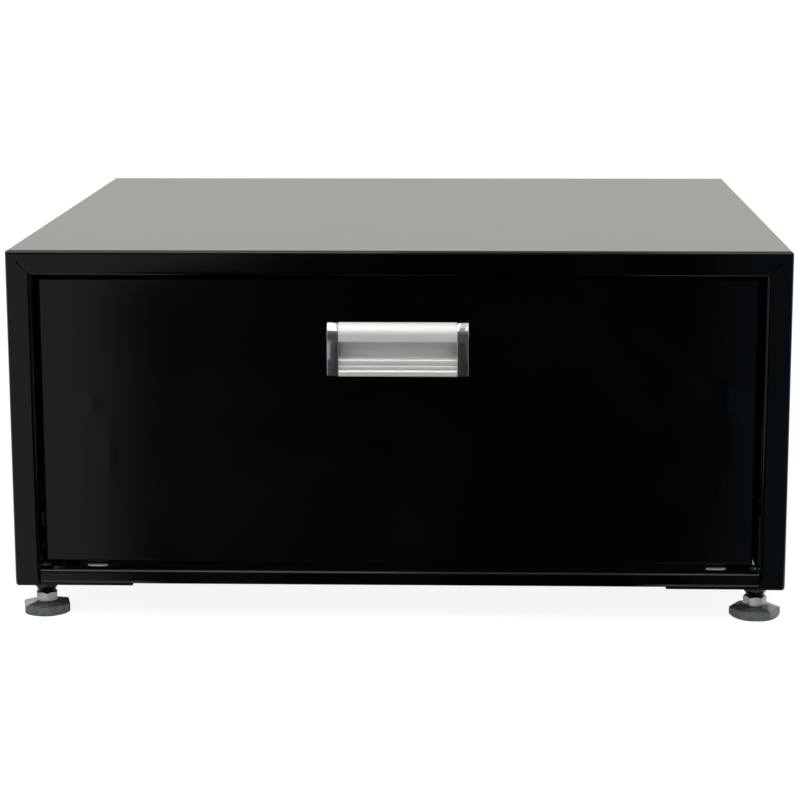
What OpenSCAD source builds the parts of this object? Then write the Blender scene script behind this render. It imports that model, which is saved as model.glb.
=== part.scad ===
// Laundry pedestal: a low box of bent sheet steel on four levelling feet, with one drawer
// across its whole front on telescopic ball runners. A front loader stands on its top.
// Millimetres. X right, Y to the back, Z up. Origin on the floor under the middle of the box.

/* [Cabinet] */
// Width over the side walls
cab_w = 600; // [500:1:700]
// Depth from the front frame to the rear screw heads
cab_d = 560; // [450:1:650]
// Height of the top above the floor, feet screwed right in
cab_h = 290; // [240:1:400]
// Gap under the box that the feet fill
foot_h = 26; // [22:0.5:40]
// Thickness of the cabinet sheet
sheet_t = 1.2; // [0.8:0.1:2]
// Outside radius of the cabinet's bends
bend_r = 3; // [2:0.5:5]
// Width of the folded frame round the drawer
frame_w = 20; // [14:1:30]
// Depth of the frame's return behind its face
frame_lip = 12; // [8:1:20]
// Height of the bottom rail's face
rail_h = 11.3; // [8:0.1:20]
// Outside radius of the bottom rail's bends
rail_r = 2.6; // [1.4:0.2:4]
// Depth of the bottom rail
rail_depth = 30; // [20:1:50]
// Thickness of the corner plates that carry the feet
plate_t = 1.5; // [1.5:0.5:4]

/* [Drawer] */
// Distance that the drawer front lies behind the frame
front_recess = 10; // [0:0.5:15]
// Gap between the drawer front and the frame on the left
gap_left = 2.7; // [2:0.1:6]
// Gap between the drawer front and the frame on the right
gap_right = 4.5; // [2:0.1:6]
// Gap above the drawer front
gap_top = 2.6; // [2:0.1:6]
// Gap below the drawer front
gap_bottom = 4.2; // [2:0.1:8]
// Thickness of the drawer front's shell
pan_depth = 18; // [12:1:30]
// Outside width of the tray
tray_w = 530; // [400:1:600]
// Length of the tray behind the front
tray_l = 452; // [300:1:480]
// Height of the tray's sides
tray_h = 150; // [80:1:180]
// Underside of the tray above the floor
tray_z = 56; // [48:1:80]
// Thickness of the drawer's sheet
tray_t = 1; // [0.8:0.1:1.5]
// Travel of the drawer
travel = 450; // [300:10:480]

/* [Handle] */
// Length of the flush pull
pull_l = 109; // [80:1:160]
// Length of each end cap
cap_l = 9; // [5:0.5:15]
// Top edge of the pull below the top of the box
pull_top = 55; // [40:1:90]

/* [Runners] */
// Length of a closed runner
run_l = 450; // [300:50:500]
// Height of a runner's section
run_h = 45.6; // [35:0.2:50]
// Width of a runner's section
run_w = 12.7; // [12:0.1:14]
// Height of the runners' middle line
run_z = 130; // [90:1:180]
// Ball diameter
ball_d = 4.76; // [3:0.01:6]
// Balls in each row
balls = 8; // [4:1:12]

/* [Feet] */
// Distance of a foot from the middle of the box, sideways
foot_x = 279; // [230:1:285]
// Distance of a foot behind the front face, or ahead of the rear face
foot_inset = 20; // [15:1:50]
// Stud diameter
stud_d = 10; // [8:1:12]
// Width of the foot across its flats
pad_af = 35.2; // [28:0.2:45]

/* [Hidden] */
$fn = 64;
hw = cab_w / 2;
front = -cab_d / 2;
rear = cab_d / 2 - 3;
base = foot_h;
top = cab_h;
open_x = hw - frame_w;
open_top = top - frame_w + 0.5;
rail_top = base + plate_t + rail_h;
pan_y = front + front_recess;
pan_x0 = -open_x + gap_left;
pan_x1 = open_x - gap_right;
pan_z0 = rail_top + gap_bottom;
pan_z1 = open_top - gap_top;
liner_y = pan_y + pan_depth;
tray_y0 = liner_y;
tray_y1 = tray_y0 + tray_l;
tray_x = tray_w / 2;
tray_top = tray_z + tray_h;
bracket_x = tray_x + run_w;
run_y0 = liner_y + 2;
run_y1 = run_y0 + run_l;
race = ball_d / 2 + 0.3;
ball_u = 6.6;
ball_u2 = 7.6;
ball_v1 = run_h / 2 - 1.2 - race;
mid_v = ball_v1 - race;
ball_v2 = mid_v - 1.2 - race;
in_v = ball_v2 - race;
cage_l = 212;
cage_y0 = run_y0 + run_l / 4 + 3;
foot_y = cab_d / 2 - foot_inset;
plate_x0 = 208;
plate_len = 70;
fold_y0 = front + sheet_t + plate_len + 1.8;
fold_y1 = rear - sheet_t - plate_len - 1.3;
nut_z = base - 9.3;
lock_h = 7.2;
glide_x = [-237, 247.5];
glide_y = front + 15.5;
pad_top = 9.3;
pull_z1 = top - pull_top;
pull_z0 = pull_z1 - 43.2;
black = [0.03, 0.03, 0.033];
zinc = [0.62, 0.63, 0.64];
grey = [0.27, 0.29, 0.29];

// ---------------------------------------------------------------- sections and directions

// Extrudes an XZ section from y0 to y1.
module along_y(y0, y1) {
    translate([0, y1, 0]) rotate([90, 0, 0]) linear_extrude(y1 - y0) children();
}

// Extrudes a YZ section from x0 to x1.
module along_x(x0, x1) {
    translate([x0, 0, 0]) rotate([90, 0, 90]) linear_extrude(x1 - x0) children();
}

// Places a right-hand piece on the side s, where s is 1 or -1.
module side(s) {
    if (s > 0) children();
    else mirror([1, 0, 0]) children();
}

module rrect(x0, y0, x1, y1, r) {
    translate([x0 + r, y0]) square([x1 - x0 - 2 * r, y1 - y0]);
    translate([x0, y0 + r]) square([x1 - x0, y1 - y0 - 2 * r]);
    for (x = [x0 + r, x1 - r], y = [y0 + r, y1 - r]) translate([x, y]) circle(r);
}

// Section of a folded channel: outer wall at u = 0, face at v = 0, inner edge at u = w.
module channel(w, lip, r, t) {
    difference() {
        rrect(0, 0, w, lip + 20, r);
        rrect(t, t, w - t, lip + 19, r - t);
        translate([-1, lip]) square([w + 2, 22]);
    }
}

// Section of one bend: a leg along u at v = 0 and a leg along v at u = 0.
module angle(w, leg, r, t) {
    difference() {
        rrect(0, 0, w + 20, leg + 20, r);
        rrect(t, t, w + 19, leg + 19, r - t);
        translate([w, -1]) square([22, leg + 22]);
        translate([-1, leg]) square([w + 22, 22]);
    }
}

// Section of a top-hat stiffener: crown at v = 0, flanges at v = depth.
module hat(crown, depth, flange, t, r) {
    difference() {
        rrect(-crown / 2, 0, crown / 2, depth + 20, r);
        rrect(-crown / 2 + t, t, crown / 2 - t, depth + 19, r - t);
        translate([-crown, depth]) square([2 * crown, 22]);
    }
    for (s = [-1, 1]) translate([s > 0 ? crown / 2 - t : -crown / 2 - flange, depth - t])
        square([flange + t, t]);
}

// ---------------------------------------------------------------- cabinet

module mitre_top() {
    along_y(-400, 400) polygon([[-hw - 5, top + 5], [hw + 5, top + 5], [hw - 40, top - 40],
        [-hw + 40, top - 40]]);
}

module mitre_side() {
    along_y(-400, 400) polygon([[hw + 5, top + 5], [hw - 40, top - 40], [hw - 40, 0], [hw + 5, 0]]);
}

module front_folds() {
    intersection() {
        mitre_top();
        along_x(-hw, hw) translate([front, top]) rotate(-90)
            channel(top - open_top, frame_lip, bend_r, sheet_t);
    }
    for (s = [-1, 1]) side(s) intersection() {
        mitre_side();
        translate([0, 0, base]) linear_extrude(top - base) translate([hw, front])
            mirror([1, 0]) channel(frame_w, frame_lip, bend_r, sheet_t);
    }
}

module rear_folds() {
    intersection() {
        mitre_top();
        along_x(-hw, hw) translate([rear, top]) mirror([1, 0]) rotate(-90)
            angle(18, 12, bend_r, sheet_t);
    }
    for (s = [-1, 1]) side(s) intersection() {
        mitre_side();
        translate([0, 0, base]) linear_extrude(top - base) translate([hw, rear])
            rotate(180) angle(18, 12, bend_r, sheet_t);
    }
}

// Top and both sides are one sheet, bent at the long top edges.
module shell() {
    difference() {
        along_y(front + bend_r, rear - bend_r) difference() {
            rrect(-hw, -60, hw, top, bend_r);
            rrect(-hw + sheet_t, -70, hw - sheet_t, top - sheet_t, bend_r - sheet_t);
            translate([-hw - 1, -80]) square([cab_w + 2, base + 80]);
        }
        for (s = [-1, 1]) side(s) along_y(fold_y0, fold_y1) translate([hw - 5, base - 1])
            square([6, 6]);
    }
    // bottom folds, between the corner plates
    for (s = [-1, 1]) side(s) along_y(fold_y0, fold_y1) translate([hw, base])
        mirror([1, 0]) angle(15, 10, bend_r, sheet_t);
}

// The open half of each mitre, with the relief hole where the weld stops.
module mitre_slit() {
    translate([hw - 9.5, front - 1, top - 9.5]) rotate([-90, 0, 0]) cylinder(h = 8, r = 0.9);
    translate([hw - 9.5, front - 1, top - 9.5]) rotate([0, 45, 0])
        translate([-0.25, 0, -22]) cube([0.5, frame_lip + 2, 22]);
}

module cabinet_wrap() color(black) difference() {
    intersection() {
        union() {
            shell();
            front_folds();
            rear_folds();
        }
        along_y(front - 1, rear + 1) rrect(-hw, -60, hw, top, bend_r);
    }
    for (s = [-1, 1]) side(s) {
        mitre_slit();
        // room for the corner plates behind the face
        translate([open_x - 0.1, front + sheet_t + 0.1, base - 1])
            cube([frame_w - sheet_t + 0.1, frame_lip + 8, plate_t + 1.1]);
        translate([hw - 19, rear - 14, base - 1]) cube([19 - sheet_t, 12.7, plate_t + 1.1]);
        // snipped lower corner of the side fold
        along_y(front - 1, front + 4) polygon([[hw + 1, base - 1], [hw - 1.6, base - 1],
            [hw - 1.6, base], [hw, base + 4.6], [hw + 1, base + 4.6]]);
        for (z = [base + 40, base + 130, base + 220]) back_hole(hw - 9, z);
    }
    for (x = [-180, 0, 180]) back_hole(x, top - 9);
}

module back_hole(x, z) {
    translate([x, rear - 3, z]) rotate([-90, 0, 0]) cylinder(h = 6, r = 1.7);
}

// Channel between the side folds, notched round the studs; its top carries two glides.
module front_rail() color(black) difference() {
    along_x(-open_x + 0.3, open_x - 0.3) translate([front, rail_top]) rotate(-90)
        channel(rail_h, rail_depth, rail_r, sheet_t);
    for (s = [-1, 1]) side(s)
        translate([foot_x - stud_d / 2 - 2, -foot_y - stud_d / 2 - 2, base]) cube([20, 40, 30]);
    for (x = glide_x) translate([x, glide_y, rail_top - 4]) slot(12.4, 5.2, 8);
}

// Vertical stadium, centred, h tall from z = 0.
module slot(l, w, h) {
    translate([-(l - w) / 2, -w / 2, 0]) cube([l - w, w, h]);
    for (s = [-1, 1]) translate([s * (l - w) / 2, 0, 0]) cylinder(h = h, r = w / 2);
}

module rear_rail() color(black) difference() {
    along_x(-hw + sheet_t + 2.2, hw - sheet_t - 2.2) translate([rear - sheet_t - 0.1, base + plate_t])
        mirror([1, 0]) angle(40, 28, 2.4, sheet_t);
    for (s = [-1, 1]) side(s) translate([foot_x - 12, rear - 80, base]) cube([40, 78.7, 20]);
}

module back_panel() color(black) difference() {
    union() {
        translate([-hw + 4, rear, base + 3]) cube([cab_w - 8, 0.8, top - base - 7]);
        // pressed field that stiffens the panel, towards the inside
        for (x = [-250, 20]) translate([x, rear - 2.2, base + 50]) cube([230, 3, 150]);
    }
    for (x = [-250, 20]) translate([x + 0.8, rear - 1.4, base + 50.8]) cube([228.4, 3, 148.4]);
    for (s = [-1, 1], z = [base + 40, base + 130, base + 220]) back_hole(s * (hw - 9), z);
    for (x = [-180, 0, 180]) back_hole(x, top - 9);
}

module pan_screw(len, head_r = 3.6, head_h = 2.2, r = 1.6) {
    // head above z = 0, shank below
    intersection() {
        cylinder(h = head_h, r = head_r);
        translate([0, 0, head_h - 7]) sphere(7);
    }
    translate([0, 0, -len]) cylinder(h = len, r = r);
}

module back_screws() color(zinc) {
    for (s = [-1, 1], z = [base + 40, base + 130, base + 220])
        translate([s * (hw - 9), rear + 0.8, z]) rotate([-90, 0, 0]) pan_screw(8);
    for (x = [-180, 0, 180])
        translate([x, rear + 0.8, top - 9]) rotate([-90, 0, 0]) pan_screw(8);
}

module top_brace(y) color(black) along_x(-hw + 5, hw - 5) translate([y, top - sheet_t - 18])
    hat(44, 18, 16, sheet_t, 3);

module top_brace_front() top_brace(-130);
module top_brace_rear() top_brace(130);

module floor_brace() color(black) along_x(-hw + 4.5, hw - 4.5)
    translate([0, base + sheet_t + 14]) mirror([0, 1]) hat(50, 14, 16, sheet_t, 3);

module foot_plate(sx, sy) color(black) side(sx) difference() {
    translate([plate_x0, sy > 0 ? rear - sheet_t - 0.1 - plate_len : front + sheet_t + 0.1, base])
        cube([hw - sheet_t - 0.1 - plate_x0, plate_len, plate_t]);
    translate([foot_x, sy * foot_y, base - 1]) cylinder(h = plate_t + 2, r = stud_d / 2 + 0.5);
}

module foot_plate_front_left() foot_plate(-1, -1);
module foot_plate_front_right() foot_plate(1, -1);
module foot_plate_rear_left() foot_plate(-1, 1);
module foot_plate_rear_right() foot_plate(1, 1);

// Weld nuts under the plates: a hexagon that narrows to a round collar.
module weld_nuts() color(black) for (sx = [-1, 1], sy = [-1, 1])
    translate([0, 0, nut_z]) at_foot(sx, sy, nut_turn(sx)) difference() {
        intersection() {
            cylinder(h = base - nut_z, r = 17 / sqrt(3), $fn = 6);
            rotate_extrude() polygon([[0, 0], [6.8, 0], [7.6, 2.3], [8.6, 4.1], [9.9, 5.4],
                [9.9, base - nut_z], [0, base - nut_z]]);
        }
        translate([0, 0, -1]) cylinder(h = base - nut_z + 2, r = stud_d / 2 + 0.05);
    }

// ---------------------------------------------------------------- runners

// Hat rail that stands the runner off the side wall, in line with the opening.
module runner_bracket(s) color(black) side(s) difference() {
    along_y(run_y0, run_y1 + 10) translate([bracket_x, run_z]) rotate(-90)
        hat(58, hw - sheet_t - bracket_x, 15, 1.5, 3.5);
    // slot that the rear bumper's tab snaps into
    translate([bracket_x - 1, run_y1 + 2.9, run_z - 4.1]) cube([3, 3.2, 8.2]);
    for (y = rivet_y) translate([bracket_x - 1, y, run_z]) rotate([0, 90, 0])
        cylinder(h = 4, r = 2.6);
}

module runner_bracket_left() runner_bracket(-1);
module runner_bracket_right() runner_bracket(1);

rivet_y = [for (k = [0 : 3]) run_y0 + 45 + 120 * k];

// Runner sections are drawn with u from the bracket towards the drawer and v up.
module in_runner(s, y0, y1) side(s) along_y(y0, y1) translate([bracket_x, run_z])
    mirror([1, 0]) children();

module outer_section() {
    translate([0, -run_h / 2 + 0.6]) square([1.2, run_h - 1.2]);
    for (m = [0, 1]) mirror([0, m]) {
        translate([0, run_h / 2 - 1.2]) square([ball_u, 1.2]);
        intersection() {
            difference() {
                translate([ball_u, ball_v1]) circle(race + 1.2);
                translate([ball_u, ball_v1]) circle(race);
            }
            translate([ball_u, ball_v1 - 1.1]) square(12);
        }
    }
}

module middle_section() {
    translate([2.6, -mid_v]) square([1.2, 2 * mid_v]);
    for (m = [0, 1]) mirror([0, m]) difference() {
        translate([2.6, mid_v - 1.7]) square([8.3, 2.2]);
        translate([ball_u, ball_v1]) circle(race);
        translate([ball_u2, ball_v2]) circle(race);
    }
}

module inner_section() {
    translate([run_w - 1.2, -in_v]) square([1.2, 2 * in_v]);
    for (m = [0, 1]) mirror([0, m]) difference() {
        translate([5.2, in_v - 1.2]) square([run_w - 5.2, 1.7]);
        translate([ball_u2, ball_v2]) circle(race);
    }
}

module runner_outer(s) color(zinc) difference() {
    in_runner(s, run_y0, run_y1) outer_section();
    for (y = rivet_y) side(s) translate([bracket_x - 3, y, run_z]) rotate([0, 90, 0])
        cylinder(h = 8, r = 2.6);
}

module runner_outer_left() runner_outer(-1);
module runner_outer_right() runner_outer(1);

// Flush rivets through each outer section and its bracket.
module runner_rivets() color(zinc) for (s = [-1, 1], y = rivet_y) side(s)
    translate([bracket_x - 1.2, y, run_z]) rotate([0, 90, 0]) {
        cylinder(h = 2.8, r = 2.5);
        translate([0, 0, 2.8]) cylinder(h = 1.4, r = 4);
    }

module runner_middle(s) color(zinc) in_runner(s, run_y0, run_y1) middle_section();
module runner_middle_left() runner_middle(-1);
module runner_middle_right() runner_middle(1);

module runner_inner(s) color(zinc) difference() {
    in_runner(s, run_y0, run_y1) inner_section();
    for (y = side_screw_y) side(s) translate([tray_x - 2, y, run_z]) rotate([0, 90, 0])
        cylinder(h = 6, r = 2.1);
}

module runner_inner_left() runner_inner(-1);
module runner_inner_right() runner_inner(1);

side_screw_y = [run_y0 + 60, run_y0 + 215, run_y0 + 370];

function ball_y(k) = cage_y0 + cage_l * (k + 0.5) / balls;

// A strip that keeps the balls of an upper and a lower row apart.
module cage(s, u, bu, v) color(zinc) difference() {
    in_runner(s, cage_y0, cage_y0 + cage_l) union() {
        translate([u, -v - 0.3]) square([0.6, 2 * v + 0.6]);
        for (m = [-1, 1]) translate([u, m * v - 0.3]) square([bu + 2.3 - u, 0.6]);
    }
    for (k = [0 : balls - 1]) side(s) translate([bracket_x - bu, ball_y(k), run_z - 40])
        cylinder(h = 80, r = ball_d / 2 + 0.15);
}

module ball_rows(s, bu, v) color(zinc) for (k = [0 : balls - 1], m = [-1, 1]) side(s)
    translate([bracket_x - bu, ball_y(k), run_z + m * v]) sphere(ball_d / 2);

module cage_outer_left() cage(-1, 1.6, ball_u, ball_v1);
module cage_outer_right() cage(1, 1.6, ball_u, ball_v1);
module cage_inner_left() cage(-1, 4.2, ball_u2, ball_v2);
module cage_inner_right() cage(1, 4.2, ball_u2, ball_v2);
module balls_outer_left() ball_rows(-1, ball_u, ball_v1);
module balls_outer_right() ball_rows(1, ball_u, ball_v1);
module balls_inner_left() ball_rows(-1, ball_u2, ball_v2);
module balls_inner_right() ball_rows(1, ball_u2, ball_v2);

// Low crowned nylon glides in the rail's slots, in the gap under the drawer front.
module glide(x) color([0.9, 0.9, 0.87]) translate([x, glide_y, rail_top]) {
    intersection() {
        slot(16, 7, 1);
        translate([-10, 0, -15.4]) rotate([0, 90, 0]) cylinder(h = 20, r = 16);
    }
    translate([0, 0, -3.5]) slot(12, 4.8, 3.5);
}

module glide_left() glide(glide_x[0]);
module glide_right() glide(glide_x[1]);

// Rubber blocks that the drawer's sides close against.
module rear_bumper(s) color([0.06, 0.06, 0.06]) side(s)
    translate([bracket_x - run_w + 0.5, run_y1 + 1, run_z - 12]) {
        cube([run_w - 0.5, 12, 24]);
        translate([run_w - 0.5, 2, 8]) cube([1.4, 3, 8]);
    }

module rear_bumper_left() rear_bumper(-1);
module rear_bumper_right() rear_bumper(1);

// ---------------------------------------------------------------- drawer

// Folded pan: face in front, four bent edges behind it.
module drawer_front() color(black) difference() {
    intersection() {
        along_y(pan_y, liner_y + 1) rrect(pan_x0, pan_z0, pan_x1, pan_z1, 2);
        translate([0, 0, -1]) linear_extrude(cab_h) rrect(pan_x0, pan_y, pan_x1, liner_y + 40, 2);
        along_x(-hw, hw) rrect(pan_y, pan_z0, liner_y + 40, pan_z1, 2);
    }
    along_y(pan_y + tray_t, liner_y + 2)
        rrect(pan_x0 + tray_t, pan_z0 + tray_t, pan_x1 - tray_t, pan_z1 - tray_t, 1);
    along_y(liner_y, liner_y + 3) rrect(-hw, 0, hw, cab_h, 1);
    translate([-pull_l / 2 + 3, pan_y - 1, pull_z0 + 4]) cube([pull_l - 6, 4, 35.8]);
}

// Flat back of the drawer front, with a window for the pull's back.
module drawer_liner() color(black) difference() {
    along_y(liner_y - tray_t, liner_y)
        rrect(pan_x0 + 1.2, pan_z0 + 1.2, pan_x1 - 1.2, pan_z1 - 1.2, 1);
    for (s = [-1, 1], z = bracket_screw_z) translate([s * 250, liner_y - 3, z])
        rotate([-90, 0, 0]) cylinder(h = 5, r = 1.7);
}

bracket_screw_z = [tray_z + 40, tray_z + 110];

// One bent sheet: floor with pressed ribs, two sides with rolled edges.
module drawer_tray() color([0.24, 0.245, 0.25]) difference() {
    union() {
        along_y(tray_y0, tray_y1) {
            difference() {
                rrect(-tray_x, tray_z, tray_x, tray_top + 40, 3);
                rrect(-tray_x + tray_t, tray_z + tray_t, tray_x - tray_t, tray_top + 39, 2);
                translate([-tray_x - 1, tray_top - 4]) square([tray_w + 2, 60]);
            }
            for (m = [0, 1]) mirror([m, 0]) translate([tray_x, tray_top]) rotate(180)
                channel(9, 6, 2.5, tray_t);
        }
        for (x = rib_x) rib(x, 0);
    }
    for (x = rib_x) rib(x, tray_t);
    for (s = [-1, 1], y = side_screw_y) side(s) translate([tray_x - 3, y, run_z])
        rotate([0, 90, 0]) cylinder(h = 6, r = 1.9);
}

rib_x = [-190, -95, 0, 95, 190];

// Long round-ended rib pressed up from the floor; in is the sheet taken off for its hollow.
module rib(x, in) {
    r = 9 - in;
    z = tray_z + tray_t + 1.8 - 9;
    intersection() {
        union() {
            translate([x, tray_y0 + 45, z]) rotate([-90, 0, 0]) cylinder(h = tray_l - 90, r = r);
            for (y = [tray_y0 + 45, tray_y1 - 45]) translate([x, y, z]) sphere(r);
        }
        translate([x - 20, tray_y0, in > 0 ? tray_z - 5 : tray_z + 0.3])
            cube([40, tray_l, 20]);
    }
}

// Rear wall of the tray, with side tabs and a folded top edge.
module tray_back() color([0.24, 0.245, 0.25]) {
    x = tray_x - tray_t - 0.2;
    along_x(-x + 9, x - 9) translate([tray_y1 - 1, tray_z + tray_t + 0.1]) mirror([1, 0]) rotate(0)
        angle(12, tray_h - 12, 2, tray_t);
    translate([0, 0, tray_z + tray_t + 4]) linear_extrude(tray_h - 22) for (m = [0, 1])
        mirror([m, 0]) translate([x, tray_y1 - 1]) rotate(180) angle(12, 14, 2, tray_t);
}

// Angle that ties the tray's side to the drawer front.
module front_bracket(s) color(zinc) side(s) difference() {
    translate([0, 0, tray_z + 20]) linear_extrude(110)
        translate([tray_x - tray_t - 0.05, liner_y + 0.05]) mirror([1, 0]) angle(26, 34, 3, 1.5);
    for (z = bracket_screw_z) translate([250, liner_y - 3, z]) rotate([-90, 0, 0])
        cylinder(h = 8, r = 1.9);
}

module front_bracket_left() front_bracket(-1);
module front_bracket_right() front_bracket(1);

module drawer_screws() color(zinc) for (s = [-1, 1]) {
    for (y = side_screw_y) side(s) translate([tray_x - tray_t, y, run_z]) rotate([0, -90, 0])
        pan_screw(4, 4, 2.2, 1.7);
    for (z = bracket_screw_z) translate([s * 250, liner_y + 1.6, z]) rotate([-90, 0, 0])
        pan_screw(7);
}

// ---------------------------------------------------------------- flush pull

// Points along an arc, from angle a0 to a1.
function arc(cx, cy, r, a0, a1, n) =
    [for (k = [0 : n]) let (a = a0 + (a1 - a0) * k / n) [cx + r * cos(a), cy + r * sin(a)]];

// Front of the hood, which the profile and its caps share: one arc that leaves the face at a
// slant and ends upright at the lip. In these sections v is the height above the pull's lower
// edge, u the depth behind the face.
hood_r = 18;
hood = arc(hood_r * cos(50), 43.2 - hood_r * sin(50), hood_r, 130, 178, 8);

// Extruded profile: the hood, the round hollow behind it for the fingers, and a stepped sill.
module pull_section() {
    difference() {
        polygon(concat(hood, arc(-5.72, 29.5, 0.7, 180, 300, 3),
            [[-4.6, 30.6], [-2.4, 33.6], [2, 34.4], [2, 16.2]],
            arc(-1.4, 12.5, 2.2, 115, 180, 5),
            [[-3.6, 11], [-3, 10.8], [-3, 10.4], [-3.9, 10.1], [-4.3, 7.3], [-3.9, 7.1]],
            arc(-4.3, 4.6, 2.1, 95, 180, 5),
            [[-6.4, 0.7], [-5.8, 0], [0, 0], [0, 4.3],
            [1.6, 4.3], [9.2, 14], [9.2, 37], [7.4, 39.5], [0, 39.5]]));
        translate([0.4, 23.2]) circle(7.4);
    }
}

module handle_profile() color([0.78, 0.79, 0.8]) along_x(-pull_l / 2 + cap_l, pull_l / 2 - cap_l)
    translate([pan_y, pull_z0]) pull_section();

module handle_cap(s) color([0.7, 0.7, 0.7]) side(s)
    along_x(pull_l / 2 - cap_l, pull_l / 2) translate([pan_y, pull_z0])
        polygon(concat(hood, [[-6.5, 29], [-6.6, 4.4], [-6.5, 0.7], [-5.9, 0], [0, 0]]));

module handle_cap_left() handle_cap(-1);
module handle_cap_right() handle_cap(1);

// Spring clips that draw the pull against the back of the sheet.
module handle_clips() color(zinc) for (x = [-34, 22]) translate([x, 0, 0]) along_x(0, 12)
    translate([pan_y + tray_t, pull_z0]) difference() {
        translate([0, 1]) square([9.5, 41.4]);
        translate([-1, 4]) square([9.3, 35.8]);
    }

// ---------------------------------------------------------------- feet

// What is common to a shape turned to each pair of a hexagon's sides.
module for_each_pair() {
    intersection_for (k = [0 : 2]) rotate(60 * k) children();
}

module at_foot(sx, sy, turn = 0) {
    translate([sx * foot_x, sy * foot_y, 0]) rotate(turn) children();
}

// How far each hexagon is turned about its stud.
function pad_turn(sx, sy) = sx < 0 ? -43 * sy : 0;
function nut_turn(sx) = sx < 0 ? 41.5 : 0;

// Thin hexagon nut, chamfered at both ends, that locks the foot under the weld nut.
module lock_nut(sx, sy) color(zinc) at_foot(sx, sy, nut_turn(sx))
    translate([0, 0, nut_z - 0.1 - lock_h]) difference() {
        intersection() {
            cylinder(h = lock_h, r = 16 / sqrt(3), $fn = 6);
            rotate_extrude() polygon([[0, 0], [7.9, 0], [9.4, 0.9], [9.4, lock_h - 0.9],
                [7.9, lock_h], [0, lock_h]]);
        }
        translate([0, 0, -1]) cylinder(h = lock_h + 2, r = stud_d / 2 + 0.05);
    }

module lock_nut_front_left() lock_nut(-1, -1);
module lock_nut_front_right() lock_nut(1, -1);
module lock_nut_rear_left() lock_nut(-1, 1);
module lock_nut_rear_right() lock_nut(1, 1);

module stud(sx, sy) color(zinc) at_foot(sx, sy) {
    translate([0, 0, 3.2]) cylinder(h = rail_top - 3, r = stud_d / 2);
    translate([0, 0, rail_top + 0.2]) cylinder(h = 0.8, r1 = stud_d / 2, r2 = stud_d / 2 - 0.8);
}

module stud_front_left() stud(-1, -1);
module stud_front_right() stud(1, -1);
module stud_rear_left() stud(-1, 1);
module stud_rear_right() stud(1, 1);

// Hexagonal foot: six shallow flats rise from its sides to the hub, and its lower edge is
// turned to a cone.
module pad(sx, sy) color(grey) at_foot(sx, sy, pad_turn(sx, sy)) difference() {
    intersection() {
        for_each_pair() along_x(-30, 30) polygon([[-pad_af / 2, 0], [pad_af / 2, 0],
            [pad_af / 2, 7.2], [8.6, pad_top], [-8.6, pad_top], [-pad_af / 2, 7.2]]);
        rotate_extrude() polygon([[0, 0], [18, 0], [20.2, 1.6], [20.2, 9], [0, 12]]);
    }
    translate([0, 0, 3.1]) cylinder(h = 10, r = stud_d / 2 + 0.05);
    translate([0, 0, -1]) cylinder(h = 1.8, r = 13);
}

module pad_front_left() pad(-1, -1);
module pad_front_right() pad(1, -1);
module pad_rear_left() pad(-1, 1);
module pad_rear_right() pad(1, 1);

cabinet_wrap();
front_rail();
rear_rail();
back_panel();
back_screws();
top_brace_front();
top_brace_rear();
floor_brace();
foot_plate_front_left();
foot_plate_front_right();
foot_plate_rear_left();
foot_plate_rear_right();
weld_nuts();
runner_bracket_left();
runner_bracket_right();
runner_outer_left();
runner_outer_right();
runner_rivets();
glide_left();
glide_right();
rear_bumper_left();
rear_bumper_right();
runner_middle_left();
runner_middle_right();
cage_outer_left();
cage_outer_right();
cage_inner_left();
cage_inner_right();
balls_outer_left();
balls_outer_right();
balls_inner_left();
balls_inner_right();
drawer_front();
drawer_liner();
drawer_tray();
tray_back();
runner_inner_left();
runner_inner_right();
front_bracket_left();
front_bracket_right();
drawer_screws();
handle_profile();
handle_cap_left();
handle_cap_right();
handle_clips();
lock_nut_front_left();
lock_nut_front_right();
lock_nut_rear_left();
lock_nut_rear_right();
stud_front_left();
stud_front_right();
stud_rear_left();
stud_rear_right();
pad_front_left();
pad_front_right();
pad_rear_left();
pad_rear_right();
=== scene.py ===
"""Looks of a laundry pedestal: a black enamelled steel box with one drawer, on four screw feet.

Lengths are metres in the pedestal's own frame: X right across the front, Y back, Z up, and the origin
on the floor under the middle of the box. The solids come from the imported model. This file dresses
them, and adds the pieces whose fine form the solids only hold the space for.
"""

import logging
import math
from dataclasses import dataclass
from enum import Enum

import bpy
import numpy as np
from mathutils import Matrix, Vector


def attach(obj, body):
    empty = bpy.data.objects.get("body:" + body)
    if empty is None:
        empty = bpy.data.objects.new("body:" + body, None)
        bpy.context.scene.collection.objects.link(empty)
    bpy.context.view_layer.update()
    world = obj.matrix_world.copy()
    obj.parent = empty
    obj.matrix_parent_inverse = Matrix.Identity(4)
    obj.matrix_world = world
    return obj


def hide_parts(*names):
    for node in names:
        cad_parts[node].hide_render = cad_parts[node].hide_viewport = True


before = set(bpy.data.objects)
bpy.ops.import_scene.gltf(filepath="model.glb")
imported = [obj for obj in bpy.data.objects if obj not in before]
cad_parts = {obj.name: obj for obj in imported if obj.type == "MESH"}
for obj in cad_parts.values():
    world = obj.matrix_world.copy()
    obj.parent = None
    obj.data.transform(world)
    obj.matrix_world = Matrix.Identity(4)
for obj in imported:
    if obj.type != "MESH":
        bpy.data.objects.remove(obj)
log = logging.getLogger("pedestal")

Object = bpy.types.Object
Node = bpy.types.Node
Tree = bpy.types.NodeTree
Inputs = bpy.types.NodeInputs
Socket = bpy.types.NodeSocket
Pair = tuple[float, float]
Rgb = tuple[float, float, float]
Point = tuple[float, float, float]
Corners = tuple[Point, Point, Point, Point]
Ramp = tuple[float, float, float, float]
# Depth, height and radius of a corner of a section, in millimetres.
Bend = tuple[float, float, float]

SIDES = ("left", "right")
ENDS = ("front", "rear")


# ------------ surfaces

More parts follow.
